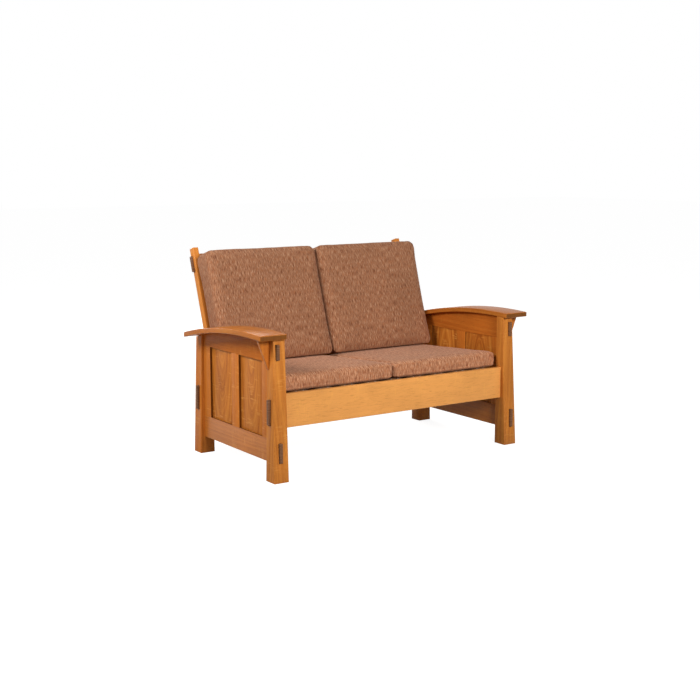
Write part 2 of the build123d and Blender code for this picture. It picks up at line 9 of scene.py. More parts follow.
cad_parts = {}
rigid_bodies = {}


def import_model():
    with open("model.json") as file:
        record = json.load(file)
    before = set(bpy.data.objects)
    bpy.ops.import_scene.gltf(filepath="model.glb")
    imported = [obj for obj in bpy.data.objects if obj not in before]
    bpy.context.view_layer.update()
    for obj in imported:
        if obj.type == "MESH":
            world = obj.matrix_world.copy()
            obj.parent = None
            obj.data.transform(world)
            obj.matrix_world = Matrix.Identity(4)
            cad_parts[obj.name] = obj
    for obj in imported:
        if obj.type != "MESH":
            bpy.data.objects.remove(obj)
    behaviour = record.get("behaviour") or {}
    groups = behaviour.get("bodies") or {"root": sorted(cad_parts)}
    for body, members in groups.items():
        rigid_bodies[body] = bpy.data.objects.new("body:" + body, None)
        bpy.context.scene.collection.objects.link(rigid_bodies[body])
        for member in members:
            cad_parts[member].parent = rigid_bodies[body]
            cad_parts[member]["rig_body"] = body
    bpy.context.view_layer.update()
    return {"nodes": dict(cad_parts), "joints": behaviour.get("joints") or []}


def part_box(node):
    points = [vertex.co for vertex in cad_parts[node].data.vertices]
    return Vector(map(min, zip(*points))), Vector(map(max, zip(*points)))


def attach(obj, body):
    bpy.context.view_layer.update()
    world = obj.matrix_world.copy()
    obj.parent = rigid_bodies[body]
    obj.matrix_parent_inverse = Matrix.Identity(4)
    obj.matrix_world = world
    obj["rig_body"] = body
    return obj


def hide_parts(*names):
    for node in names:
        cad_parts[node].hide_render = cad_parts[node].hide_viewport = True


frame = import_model()

# The settle stands on the floor at z = 0, with X along the seat and +Y to the back.
# Every size is in metres.


# Camera

CAMERA_PLACE = (-3.3405, -4.9370, 1.4110)
CAMERA_TURN = math.radians(34.159)
CAMERA_DIP = math.radians(8.901)
CAMERA_LENS = 62.48


def make_camera():
    """Camera at the photograph's viewing angle, with no shift and no depth of field."""
    data = bpy.data.cameras.new("photo_camera")
    data.lens = CAMERA_LENS
    data.sensor_width = 36
    data.clip_end = 60
    camera = bpy.data.objects.new("photo_camera", data)
    camera.location = CAMERA_PLACE
    camera.rotation_euler = (math.pi / 2 - CAMERA_DIP, 0, -CAMERA_TURN)
    bpy.context.scene.collection.objects.link(camera)
    bpy.context.scene.camera = camera


make_camera()


# Shader maths: a socket that takes Python's operators

class Value:
    """A number or colour that varies over a surface, held by the socket that gives it."""

    def __init__(self, shader, socket):
        self.shader = shader
        self.socket = socket

    def _math(self, operation, *values):
        return self.shader.node("ShaderNodeMath", {"operation": operation}, values)

    def __add__(self, other):
        return self._math("ADD", self, other)

    def __radd__(self, other):
        return self._math("ADD", other, self)

    def __sub__(self, other):
        return self._math("SUBTRACT", self, other)

    def __rsub__(self, other):
        return self._math("SUBTRACT", other, self)

    def __mul__(self, other):
        return self._math("MULTIPLY", self, other)

    def __rmul__(self, other):
        return self._math("MULTIPLY", other, self)

    def step(self, low, high):
        """0 below low, 1 above high, with a soft way between them."""
        settings = {"interpolation_type": "SMOOTHSTEP"}
        return self.shader.node("ShaderNodeMapRange", settings, (self, low, high, 0, 1))


LACQUER_WEIGHT = 0.04


class Shader:
    """A material whose nodes are made one after the other."""

    def __init__(self, name):
        self.material = bpy.data.materials.new(name)
        self.material.use_nodes = True
        self.tree = self.material.node_tree
        self.surface = self.tree.nodes["Principled BSDF"]
        self.place = self.node("ShaderNodeTexCoord", {}, (), "Object")

    def node(self, kind, settings, values, output=0):
        """New node with its settings and inputs; its chosen output comes back."""
        made = self.tree.nodes.new(kind)
        for key, setting in settings.items():
            if key == "stops":
                self._set_stops(made.color_ramp, setting)
            else:
                setattr(made, key, setting)
        inputs = values.items() if isinstance(values, dict) else enumerate(values)
        for key, value in inputs:
            self._feed(made.inputs[key], value)
        return Value(self, made.outputs[output])

    def _feed(self, socket, value):
        if isinstance(value, Value):
            self.tree.links.new(value.socket, socket)
        else:
            socket.default_value = value

    def _set_stops(self, ramp, stops):
        while len(ramp.elements) > 1:
            ramp.elements.remove(ramp.elements[-1])
        ramp.elements[0].position, ramp.elements[0].color = stops[0][0], (*stops[0][1], 1)
        for position, colour in stops[1:]:
            element = ramp.elements.new(position)
            element.color = (*colour, 1)

    def noise(self, place, scale, detail=2.0, rough=0.5, distort=0.0):
        """Soft noise from 0 to 1 at a place."""
        inputs = {"Vector": place, "Scale": scale, "Detail": detail}
        inputs.update({"Roughness": rough, "Distortion": distort})
        return self.node("ShaderNodeTexNoise", {}, inputs)

    def stretched_noise(self, place, scale, detail=2.0, rough=0.5, distort=0.0):
        """Soft noise with a scale of its own along each axis."""
        return self.noise(self.moved(place, scale=scale), 1.0, detail, rough, distort)

    def bands(self, value, rough=0.6):
        """Noise from 0 to 1 along one number, for rings and stripes."""
        inputs = {"W": value, "Scale": 1.0, "Detail": 2.0, "Roughness": rough}
        return self.node("ShaderNodeTexNoise", {"noise_dimensions": "1D"}, inputs)

    def moved(self, place, shift=(0, 0, 0), turn=(0, 0, 0), scale=(1, 1, 1)):
        """A place moved, turned and scaled."""
        return self.node("ShaderNodeMapping", {}, (place, shift, turn, scale))

    def coordinates(self, place):
        """The three numbers of a place."""
        outputs = ("X", "Y", "Z")
        return [self.node("ShaderNodeSeparateXYZ", {}, (place,), name) for name in outputs]

    def joined(self, *numbers):
        """Three numbers as a place."""
        return self.node("ShaderNodeCombineXYZ", {}, numbers)

    def ramp(self, value, *stops):
        """Colour for a number, through a row of stops."""
        return self.node("ShaderNodeValToRGB", {"stops": stops}, (value,))

    def mixed(self, share, first, second):
        """Two colours mixed by a share."""
        pair = [tone if isinstance(tone, Value) else (*tone, 1) for tone in (first, second)]
        inputs = {0: share, 6: pair[0], 7: pair[1]}
        return self.node("ShaderNodeMix", {"data_type": "RGBA"}, inputs, 2)

    def shaded(self, colour, shade):
        """Colour made lighter or darker by a factor."""
        settings = {"operation": "SCALE"}
        return self.node("ShaderNodeVectorMath", settings, {"Vector": colour, "Scale": shade})

    def bumps(self, height, strength, distance):
        """Height turned into a bump on the surface."""
        inputs = {"Strength": strength, "Distance": distance, "Height": height}
        self.feed("Normal", self.node("ShaderNodeBump", {}, inputs))

    def feed(self, name, value):
        """Feeds one socket of the surface."""
        self._feed(self.surface.inputs[name], value)

    def lacquer(self, gloss, roughness):
        """Thin lacquer over the surface."""
        self.feed("Specular IOR Level", gloss)
        self.feed("Coat Weight", LACQUER_WEIGHT)
        self.feed("Coat Roughness", roughness)


# Oak

OAK_DARK = (0.285, 0.074, 0.010)
OAK_MIDDLE = (0.500, 0.165, 0.024)
OAK_LIGHT = (0.690, 0.275, 0.046)
OAK_GOLD = (0.860, 0.420, 0.125)
OAK_RED = (0.480, 0.092, 0.006)
RAY_COLOUR = (0.780, 0.370, 0.085)
PORE_COLOUR = (0.150, 0.036, 0.006)

# How a board was sawn: how far the tree's heart lies across and behind the board's middle,
# and how fast it drifts across and behind along the board
SAWN = {
    "quarter": ((0.210, 0.020), (0.020, 0.000)),
    "rift": ((0.120, 0.110), (0.015, 0.010)),
    "flat": ((0.006, 0.075), (0.000, 0.110)),
}

# Fineness of the pattern across, through and along a board
DRIFT_SCALE = (5.0, 5.0, 1.6)
RIPPLE_SCALE = (22, 22, 5.0)
STREAK_SCALE = (85, 85, 2.4)
PORE_SCALE = (640, 640, 26)
FLAKE_SCALE = (20, 20, 140)
PATCH_SCALE = (9, 9, 13)
CLOUD_SCALE = 4.5

# Rings to a metre, and how far they stray from a circle
WIDE_RINGS = 74
FINE_RINGS = 310
DRIFT_DEPTH = 0.034
RIPPLE_DEPTH = 0.0045

# How far apart the boards lie in the pattern, and how dark the pores are
BOARD_SPREAD = (1.37, 0.71, 2.13)
PORE_COVER = 0.46


def board_place(shader, axes, centre, lean):
    """Distances from a board's middle: across it, through it and along its grain."""
    place = shader.moved(shader.place, shift=(-centre[0], -centre[1], -centre[2]))
    if lean:
        place = shader.moved(place, turn=(lean, 0, 0))
    numbers = dict(zip("xyz", shader.coordinates(place)))
    return [numbers[axis] for axis in axes]


def tree_ring(shader, cut, seed, spot, board):
    """How far a point of a board lies from the heart of its tree, with the tree's bends."""
    across, through, along = spot
    drift = shader.stretched_noise(board, DRIFT_SCALE)
    ripple = shader.stretched_noise(board, RIPPLE_SCALE)
    (heart_across, heart_behind), (drift_across, drift_behind) = SAWN[cut]
    side = 1 if seed % 2 else -1
    from_heart = shader.joined(
        across - side * heart_across + side * drift_across * along,
        through - heart_behind + side * drift_behind * along,
        0.0,
    )
    ring = shader.node("ShaderNodeVectorMath", {"operation": "LENGTH"}, (from_heart,), "Value")
    return ring + DRIFT_DEPTH * drift + RIPPLE_DEPTH * ripple


def oak(name, axes, centre, cut, seed, fleck, tone, contrast, hue, gloss, lean):
    """Oak in a honey stain under a satin lacquer, cut from a log with rings in it.

    The axes say which of the object's axes run across the board, through it and along
    its grain. The rings lie round the heart of the tree, so faces and ends agree.
    """
    shader = Shader(name)
    spot = board_place(shader, axes, centre, lean)
    spread = tuple(seed * step for step in BOARD_SPREAD)
    board = shader.moved(shader.joined(*spot), shift=spread)
    ring = tree_ring(shader, cut, seed, spot, board)
    wide = shader.bands(ring * WIDE_RINGS + seed, rough=0.55)
    fine = shader.bands(ring * FINE_RINGS + seed)
    streak = shader.stretched_noise(board, STREAK_SCALE, detail=3.0, rough=0.6)
    pores = shader.stretched_noise(board, PORE_SCALE)
    pore = pores.step(0.57, 0.70) * (1.25 - fine)
    level = 0.5 + contrast * (0.50 * wide + 0.26 * fine + 0.34 * streak - 0.55)
    colour = shader.ramp(level, (0.16, OAK_DARK), (0.50, OAK_MIDDLE), (0.86, OAK_LIGHT))
    colour = shader.mixed(abs(hue), colour, OAK_GOLD if hue > 0 else OAK_RED)
    flakes = shader.stretched_noise(board, FLAKE_SCALE, detail=1.0, rough=0.4, distort=0.3)
    patches = shader.stretched_noise(board, PATCH_SCALE).step(0.46, 0.66)
    ray = flakes.step(0.55, 0.72) * patches * fleck
    colour = shader.mixed(ray, colour, RAY_COLOUR)
    colour = shader.mixed(pore * PORE_COVER, colour, PORE_COLOUR)
    cloud = shader.noise(board, CLOUD_SCALE).step(0.25, 0.8)
    shader.feed("Base Color", shader.shaded(colour, tone * (0.90 + 0.18 * cloud)))
    shader.feed("Roughness", 0.33 + 0.12 * streak - 0.07 * ray + 0.12 * pore)
    shader.lacquer(gloss, 0.12)
    shader.bumps(0.5 * streak + 0.2 * fine - pore, strength=0.30, distance=0.0004)
    return shader.material


# Other woods and metal

CAP_DARK = (0.085, 0.034, 0.014)
CAP_LIGHT = (0.230, 0.110, 0.055)
CAP_RINGS = 260
CAP_BEND = 9
# Deck wood colours, kept dark as painted shade under the cushions
INNER_SHADE_DARK = (0.120, 0.050, 0.018)
INNER_SHADE_LIGHT = (0.230, 0.110, 0.042)
INNER_SHADE_PORE = (0.070, 0.030, 0.012)
INNER_SPREAD = (1.9, 0.6, 1.1)
ZINC_DARK = (0.36, 0.35, 0.33)
ZINC_LIGHT = (0.52, 0.50, 0.47)


def dark_end_grain(name):
    """Dark stained end grain: rings and open pores under a thin lacquer."""
    shader = Shader(name)
    pores = shader.noise(shader.place, scale=900, rough=0.6)
    drift = shader.noise(shader.place, scale=14)
    height = shader.coordinates(shader.place)[2]
    rings = shader.bands(height * CAP_RINGS + drift * CAP_BEND)
    level = 0.62 * rings + 0.38 * pores
    shader.feed("Base Color", shader.ramp(level, (0.30, CAP_DARK), (0.68, CAP_LIGHT)))
    shader.feed("Roughness", 0.32 + 0.18 * pores)
    shader.lacquer(0.10, 0.2)
    shader.bumps(level, strength=0.3, distance=0.0003)
    return shader.material


def inner_wood_painted_shade(name, axes, seed):
    """Plain wood for the deck under the cushions, darkened as painted shade."""
    shader = Shader(name)
    numbers = dict(zip("xyz", shader.coordinates(shader.place)))
    board = shader.joined(*[numbers[axis] for axis in axes])
    board = shader.moved(board, shift=tuple(seed * step for step in INNER_SPREAD))
    lines = shader.stretched_noise(board, (70, 70, 1.6), detail=3.0, rough=0.55, distort=0.4)
    pores = shader.stretched_noise(board, (500, 500, 12)).step(0.6, 0.75)
    colour = shader.ramp(lines, (0.3, INNER_SHADE_DARK), (0.7, INNER_SHADE_LIGHT))
    shader.feed("Base Color", shader.mixed(pores * 0.3, colour, INNER_SHADE_PORE))
    shader.feed("Roughness", 0.55 + 0.15 * lines)
    shader.bumps(lines - pores, strength=0.3, distance=0.0003)
    return shader.material


def zinc_steel(name):
    """Dull zinc on the screws, with faint turning marks."""
    shader = Shader(name)
    marks = shader.noise(shader.place, scale=1400)
    shader.feed("Base Color", shader.ramp(marks, (0.3, ZINC_DARK), (0.7, ZINC_LIGHT)))
    shader.feed("Roughness", 0.34 + 0.2 * marks)
    shader.feed("Metallic", 1.0)
    return shader.material


# Cushion cloth

CLOTH_DARK = (0.165, 0.058, 0.028)
CLOTH_BROWN = (0.300, 0.125, 0.064)
CLOTH_TAN = (0.440, 0.222, 0.122)
CLOTH_PALE = (0.600, 0.355, 0.225)
CLOTH_RUST = (0.400, 0.130, 0.045)
THREAD_DARK = (0.120, 0.046, 0.024)
THREAD_LIGHT = (0.330, 0.160, 0.090)

# Fineness of the yarns across and down the cloth, in waves to a metre
YARN_SCALE = (330, 34, 1)
THREAD_SCALE = (700, 80, 1)
PILE_SCALE = (1500, 900, 1)
RUST_SCALE = (260, 40, 1)
RUST_SHIFT = (7, 3, 0)
YARN_SWAY = 0.006


def chenille(name, tone):
    """Rust-brown chenille: short broken streaks of pile down the cloth, in several yarns.

    The tone makes the cloth lighter or darker as painted light and shade: lighter on the seats,
    darker on the backs.
    """
    shader = Shader(name)
    cloth = shader.node("ShaderNodeUVMap", {"uv_map": "cloth"}, ())
    sway = shader.noise(cloth, scale=26)
    across, down, _ = shader.coordinates(cloth)
    wavy = shader.joined(across + YARN_SWAY * sway, down, 0.0)
    streak = shader.stretched_noise(wavy, YARN_SCALE, detail=1.0)
    thread = shader.stretched_noise(wavy, THREAD_SCALE, rough=0.6)
    pile = shader.stretched_noise(cloth, PILE_SCALE)
    level = 0.58 * streak + 0.42 * thread + 0.14 * pile - 0.07
    colour = shader.ramp(
        level, (0.37, CLOTH_DARK), (0.47, CLOTH_BROWN), (0.57, CLOTH_TAN), (0.68, CLOTH_PALE)
    )
    second = shader.noise(shader.moved(wavy, shift=RUST_SHIFT, scale=RUST_SCALE), 1.0, rough=0.6)
    colour = shader.mixed(second.step(0.52, 0.66) * 0.55, colour, CLOTH_RUST)
    worn = shader.noise(cloth, scale=5.0).step(0.2, 0.85)
    shader.feed("Base Color", shader.shaded(colour, tone * (0.92 + 0.16 * worn)))
    shader.feed("Roughness", 0.94)
    shader.feed("Specular IOR Level", 0.15)
    shader.feed("Sheen Weight", 0.14)
    shader.feed("Sheen Roughness", 0.5)
    shader.feed("Sheen Tint", (1.0, 0.72, 0.60, 1))
    shader.bumps(0.6 * streak + 0.5 * thread + 0.3 * pile, strength=0.75, distance=0.0016)
    return shader.material


def seam_thread(name):
    """Brown twisted thread."""
    shader = Shader(name)
    twist = shader.noise(shader.place, scale=1700)
    shader.feed("Base Color", shader.ramp(twist, (0.3, THREAD_DARK), (0.75, THREAD_LIGHT)))
    shader.feed("Roughness", 0.8)
    shader.bumps(twist, strength=0.5, distance=0.0004)
    return shader.material


# Boards: each CAD piece keeps its shape and gets softly rounded edges

SAME_POINT = 1e-6
FLAT_ANGLE = math.radians(0.2)
EDGE_ANGLE = math.radians(28)
SMALL_EASE = 0.0008

# How squarely a face looks along an axis, at least, to take that axis's stain
FACING = 0.97

# The stub on a rear post's head: a little more than its height, how close points of one of
# its faces lie to their plane, the head's fall to the back, and how far it ends inside the arm
STUB_HEIGHT = 0.021
STUB_PLANE = 0.0001
HEAD_FALL = 0.244
STUB_INSIDE = 0.0005


def plain_mesh(piece):
    """Applies every modifier of a piece, so that a plain mesh is left."""
    graph = bpy.context.evaluated_depsgraph_get()
    made = bpy.data.meshes.new_from_object(piece.evaluated_get(graph))
    piece.modifiers.clear()
    piece.data = made


def new_piece(name, mesh):
    """Object for a mesh, in the scene."""
    piece = bpy.data.objects.new(name, mesh)
    bpy.context.scene.collection.objects.link(piece)
    return piece


def merged_copy(node):
    """Mesh of a CAD node, with its loose triangles joined into one skin."""
    skin = bmesh.new()
    skin.from_mesh(frame["nodes"][node].data)
    bmesh.ops.remove_doubles(skin, verts=skin.verts, dist=SAME_POINT)
    bmesh.ops.dissolve_limit(skin, angle_limit=FLAT_ANGLE, verts=skin.verts, edges=skin.edges)
    mesh = bpy.data.meshes.new(f"{node}_skin")
    skin.to_mesh(mesh)
    skin.free()
    return mesh


def stain_and_shade_faces(mesh, material, way):
    """Gives a darker oak to the faces that look along one axis: more stain on ends, painted
    shade on the walls of recesses.
    """
    mesh.materials.append(material)
    number = len(mesh.materials) - 1
    for face in mesh.polygons:
        if abs(face.normal.dot(way)) > FACING:
            face.material_index = number


def trim_stub(mesh):
    """Ends the stub on a rear post's head just inside the end of the arm over it."""
    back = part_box("arm_left")[1][1] - STUB_INSIDE
    places = [vertex.co for vertex in mesh.vertices]
    top = max(place.z for place in places)
    far = max(place.y for place in places if place.z > top - STUB_PLANE)
    for place in places:
        if abs(place.y - far) < STUB_PLANE and place.z > top - STUB_HEIGHT:
            if place.z < top - STUB_HEIGHT / 2:
                place.z += HEAD_FALL * (far - back)
            place.y = back


def board_from_node(node, ease, material, stain=None, way=None):
    """Copy of a CAD piece with its edges rounded over, in place of the CAD piece."""
    mesh = merged_copy(node)
    if node.startswith("rear_post"):
        trim_stub(mesh)
    board = new_piece(f"{node}_board", mesh)
    mesh.materials.clear()
    mesh.materials.append(material)
    mesh.polygons.foreach_set("use_smooth", [True] * len(mesh.polygons))
    mesh.polygons.foreach_set("material_index", [0] * len(mesh.polygons))
    # Darker faces: more stain on end grain, painted shade on the side frames' recess walls
    if stain:
        stain_and_shade_faces(mesh, stain, Vector(way))
    bevel = board.modifiers.new("eased edges", "BEVEL")
    bevel.width = ease
    bevel.segments = 2
    bevel.limit_method = "ANGLE"
    bevel.angle_limit = EDGE_ANGLE
    bevel.use_clamp_overlap = True
    bevel.harden_normals = True
    plain_mesh(board)
    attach(board, frame["nodes"][node]["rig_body"])
    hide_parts(node)


def centre_of(node):
    """Middle of a CAD node's box."""
    low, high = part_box(node)
    return (Vector(low) + Vector(high)) / 2


def lean_of_back():
    """Lean of the back, from the way that its cushions slide."""
    axis = slide_axis("back_cushion_left")
    return math.atan2(axis.y, axis.z)


def slide_axis(body):
    """The way that a body's slide runs."""
    joint = next(item for item in frame["joints"] if item["child"] == body)
    return Vector(joint["axis"]).normalized()


BACK_LEAN = lean_of_back()

# Boards of one kind: axes across, through and along the grain, the cut, ray flecks, tone,
# contrast, hue from red (-1) to gold (+1), gloss, whether it leans with the back, and the radius
# of its edges. Tone and hue are partly the boards' own colour and partly painted light and
# shade: the front seat rail and back uprights lighter and golder where light falls on them, the
# side boards redder where they lie in shade
BOARD_KINDS = {
    "front_post": ("xyz", "rift", 0.25, 0.97, 0.8, 0.05, 0.06, False, 0.0012),
    "rear_post": ("xyz", "rift", 0.25, 1.00, 0.8, -0.20, 0.06, False, 0.0012),
    "arm": ("xzy", "quarter", 0.35, 0.86, 1.0, -0.18, 0.10, False, 0.0012),
    "corbel": ("xyz", "quarter", 0.20, 0.95, 0.8, -0.20, 0.06, False, 0.0010),
    "side_bottom_rail": ("zxy", "quarter", 0.30, 0.97, 0.7, -0.10, 0.22, False, 0.0010),
    "side_top_rail": ("zxy", "quarter", 0.30, 0.97, 0.7, -0.35, 0.06, False, 0.0010),
    "side_panel": ("yxz", "flat", 0.62, 1.00, 1.70, -0.10, 0.05, False, 0.0006),
    "side_stile": ("yxz", "quarter", 0.35, 1.08, 0.6, -0.22, 0.05, False, 0.0008),
    "back_upright": ("xyz", "quarter", 0.30, 1.10, 0.7, 0.10, 0.06, True, 0.0010),
    "front_seat_rail": ("zyx", "rift", 0.55, 1.03, 0.6, 0.58, 0.10, False, 0.0012),
    "rear_seat_rail": ("zyx", "quarter", 0.30, 1.00, 0.9, 0.00, 0.06, False, 0.0012),
    "crest_rail": ("zyx", "quarter", 0.40, 1.00, 0.9, 0.00, 0.06, True, 0.0010),
    "lower_back_rail": ("zyx", "quarter", 0.40, 1.00, 0.9, 0.00, 0.06, True, 0.0010),
    "back_slat": ("xyz", "quarter", 0.45, 1.00, 0.9, 0.00, 0.06, True, 0.0010),
}


# Faces given a darker oak, by the way that they look: the arms' end grain, which takes more
# stain, and the edges of the side frames round the panels, darkened as painted shade in the
# recesses
STAINED_AND_SHADED_FACES = {
    "arm": (0, 1, 0),
    "side_stile": (0, 1, 0),
    "side_top_rail": (0, 0, 1),
    "side_bottom_rail": (0, 0, 1),
}

# The darker oak on them, stain on the end grain and painted shade in the recesses: ray flecks,
# tone, contrast and hue
STAIN_AND_SHADE_LOOK = (0.0, 0.36, 0.5, 0.0)


def oak_boards():
    """Every stained oak board, each with its own piece of the pattern."""
    seed = 0
    for kind, look in BOARD_KINDS.items():
        axes, cut, fleck, tone, contrast, hue, gloss, leans, ease = look
        finish = (gloss, BACK_LEAN if leans else 0.0)
        way = STAINED_AND_SHADED_FACES.get(kind)
        for node in sorted(name for name in frame["nodes"] if name.startswith(kind)):
            seed += 1
            grain = (axes, centre_of(node), cut, seed)
            material = oak(f"oak_{node}", *grain, fleck, tone, contrast, hue, *finish)
            # The darker oak: stain on the arms' end grain, painted shade on the side frames'
            # recess walls
            stain = oak(f"oak_{node}_shade", *grain, *STAIN_AND_SHADE_LOOK, *finish) if way else None
            board_from_node(node, ease, material, stain, way)


def dark_caps():
    """The dark caps in the mouths of the mortises."""
    material = dark_end_grain("dark_end_grain")
    for joint in ("lower_side", "upper_side", "front_seat", "rear_seat", "crest"):
        board_from_node(f"{joint}_tenon_caps", SMALL_EASE, material)


def deck_boards():
    """The plain boards of the deck, out of sight under the cushions."""
    boards = [(node, "xzy") for node in sorted(frame["nodes"]) if node.startswith("deck_slat")]
    boards += [("deck_cleat_front", "zyx"), ("deck_cleat_rear", "zyx")]
    boards += [("centre_stretcher", "zxy"), ("corner_blocks", "yzx")]
    for seed, (node, axes) in enumerate(boards):
        material = inner_wood_painted_shade(f"inner_{node}", axes, seed)
        board_from_node(node, SMALL_EASE, material)


# Repeated small things, each made by a tree of geometry nodes

class GeometryTree:
    """A tree of geometry nodes with named inputs."""

    def __init__(self, name, sizes):
        self.tree = bpy.data.node_groups.new(name, "GeometryNodeTree")
        self.sockets = {}
        self._socket("Places", "INPUT", "NodeSocketGeometry")
        for size, kind in sizes.items():
            self._socket(size, "INPUT", kind)
        self._socket("Pieces", "OUTPUT", "NodeSocketGeometry")
        self.given = self.tree.nodes.new("NodeGroupInput")
        self.result = self.tree.nodes.new("NodeGroupOutput")

    def _socket(self, name, way, kind):
        made = self.tree.interface.new_socket(name=name, in_out=way, socket_type=kind)
        self.sockets[name] = made.identifier

    def size(self, name):
        """The socket that gives one of the tree's inputs."""
        return self.given.outputs[name]

    def node(self, kind, settings, values, output=0):
        """New node with its settings and inputs; its chosen output comes back."""
        made = self.tree.nodes.new(kind)
        for key, setting in settings.items():
            setattr(made, key, setting)
        for key, value in values.items():
            if isinstance(value, bpy.types.NodeSocket):
                self.tree.links.new(value, made.inputs[key])
            else:
                made.inputs[key].default_value = value
        return made.outputs[output]

    def finish(self, pieces):
        """Ends the tree: instances become real mesh, with their material."""
        real = self.node("GeometryNodeRealizeInstances", {}, {"Geometry": pieces})
        values = {"Geometry": real, "Material": self.size("Material")}
        painted = self.node("GeometryNodeSetMaterial", {}, values)
        self.tree.links.new(painted, self.result.inputs["Pieces"])

    def grow(self, name, places, sizes):
        """A plain mesh piece, grown on a mesh of places."""
        piece = new_piece(name, places)
        modifier = piece.modifiers.new(name, "NODES")
        modifier.node_group = self.tree
        for size, value in sizes.items():
            modifier[self.sockets[size]] = value
        plain_mesh(piece)
        return piece


def stitch_tree():
    """Stitches in a row along a seam."""
    sizes = {
        "Spacing": "NodeSocketFloat",
        "Stitch": "NodeSocketVector",
        "Material": "NodeSocketMaterial",
    }
    tree = GeometryTree("stitches", sizes)
    seam = tree.node("GeometryNodeMeshToCurve", {}, {"Mesh": tree.size("Places")})
    inputs = {"Curve": seam, "Length": tree.size("Spacing")}
    row = tree.node("GeometryNodeResampleCurve", {"mode": "LENGTH"}, inputs)
    bead = tree.node("GeometryNodeMeshIcoSphere", {}, {"Radius": 0.5, "Subdivisions": 1})
    shape = {"Geometry": bead, "Scale": tree.size("Stitch")}
    stitch = tree.node("GeometryNodeTransform", {}, shape)
    way = tree.node("GeometryNodeInputTangent", {}, {})
    turn = tree.node("FunctionNodeAlignRotationToVector", {"axis": "X"}, {"Vector": way})
    inputs = {"Points": row, "Instance": stitch, "Rotation": turn}
    tree.finish(tree.node("GeometryNodeInstanceOnPoints", {}, inputs))
    return tree


SCREW_RADIUS = 0.0042
SCREW_RISE = 0.0012
SCREW_SIDES = 20
SCREW_TOP_SHARE = 0.62
SCREW_FROM_EDGE = 0.018
SCREW_FROM_END = 0.012


def screw_tree():
    """Screw heads on a mesh of points: a bevelled disc with a bar across its top."""
    sizes = {
        "Radius": "NodeSocketFloat",
        "Rise": "NodeSocketFloat",
        "Tilt": "NodeSocketVector",
        "Material": "NodeSocketMaterial",
    }
    tree = GeometryTree("screw_heads", sizes)
    radius, rise = tree.size("Radius"), tree.size("Rise")
    share = {0: radius, 1: SCREW_TOP_SHARE}
    inner = tree.node("ShaderNodeMath", {"operation": "MULTIPLY"}, share)
    rim = {"Vertices": SCREW_SIDES, "Radius Top": inner, "Radius Bottom": radius, "Depth": rise}
    head = tree.node("GeometryNodeMeshCone", {}, rim)
    size = tree.node("ShaderNodeCombineXYZ", {}, {"X": inner, "Y": rise, "Z": rise})
    bar = tree.node("GeometryNodeMeshCube", {}, {"Size": size})
    both = tree.tree.nodes.new("GeometryNodeJoinGeometry")
    tree.tree.links.new(head, both.inputs[0])
    tree.tree.links.new(bar, both.inputs[0])
    inputs = {
        "Points": tree.size("Places"),
        "Instance": both.outputs[0],
        "Rotation": tree.size("Tilt"),
    }
    tree.finish(tree.node("GeometryNodeInstanceOnPoints", {}, inputs))
    return tree


def deck_screws(material):
    """Two screw heads at each end of each slat of the deck."""
    along = -slide_axis("seat_cushion_left")
    places = []
    for node in sorted(name for name in frame["nodes"] if name.startswith("deck_slat")):
        corners = [vertex.co for vertex in frame["nodes"][node].data.vertices]
        out = Vector((1, 0, 0)).cross(along)
        top = max(corner.dot(out) for corner in corners)
        starts, ends = [pick(corner.dot(along) for corner in corners) for pick in (min, max)]
        low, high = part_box(node)
        for x in (low[0] + SCREW_FROM_EDGE, high[0] - SCREW_FROM_EDGE):
            for run in (starts + SCREW_FROM_END, ends - SCREW_FROM_END):
                places.append(Vector((x, 0, 0)) + along * run + out * top)
    points = bpy.data.meshes.new("deck_screw_places")
    points.from_pydata(places, [], [])
    tilt = (math.atan2(along.z, along.y), 0.0, 0.0)
    sizes = {"Radius": SCREW_RADIUS, "Rise": SCREW_RISE, "Tilt": tilt, "Material": material}
    screws = screw_tree().grow("deck_screws", points, sizes)
    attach(screws, "frame")


# Cushions: a slightly smaller form is blown up by a cloth simulation and then stretched to
# the size of its CAD solid

# The form before the simulation: how far inside the solid it starts, its mesh and smoothing
SMALLER = 0.006
VOXEL = 0.006
SOFT_BEFORE = 2
SOFT_AFTER = 1

# The simulation: its cloth, how long it runs, the furthest that a point moves, and the share
# of a sideways move that is kept
CLOTH = {
    "quality": 4,
    "mass": 0.3,
    "tension_stiffness": 12,
    "compression_stiffness": 12,
    "shear_stiffness": 5,
    "bending_stiffness": 0.4,
    "use_pressure": True,
    "uniform_pressure_force": 4.0,
}
LAST_FRAME = 14
MOST_MOVE = 0.008
SIDE_SHARE = 0.3

# The form after it: how far a cushion keeps inside its solid's sides, how far it is stretched
# past its ends and its foot, the fullness of its corners and shoulders, and the room and
# softness with which it is held inside the solid
SIDE_SPARE = {"seat": 0.0012, "back": -0.002}
END_STRETCH = 0.002
FOOT_STRETCH = 0.003
CORNER_FILL = 0.003
SHOULDERS = 0.75
CROWN_ROOM = 0.004
HOLD = (0.006, 0.004, 0.003)

# Unevenness: what is added to the seed, waves to a metre and depth
UNEVEN = ((0, 6.5, 0.0022), (9, 21, 0.0007))
PUCKER_SEED = 4
BACK_SEED = 5

# Heights over a cushion's foot of its lower seam and of its upper edge, how far the top of a
# back cushion leans to +X, and the tone of the cloth, lighter on the seats and darker on the
# backs as painted light and shade
SEAM_HEIGHT = {"seat": 0.020, "back": 0.040}
EDGE_HEIGHT = {"seat": 0.070, "back": 0.110}
LEAN_OUT = {"left": -0.001, "right": 0.008}
CLOTH_PAINTED_LIGHT = {"seat": 1.19, "back": 0.88}

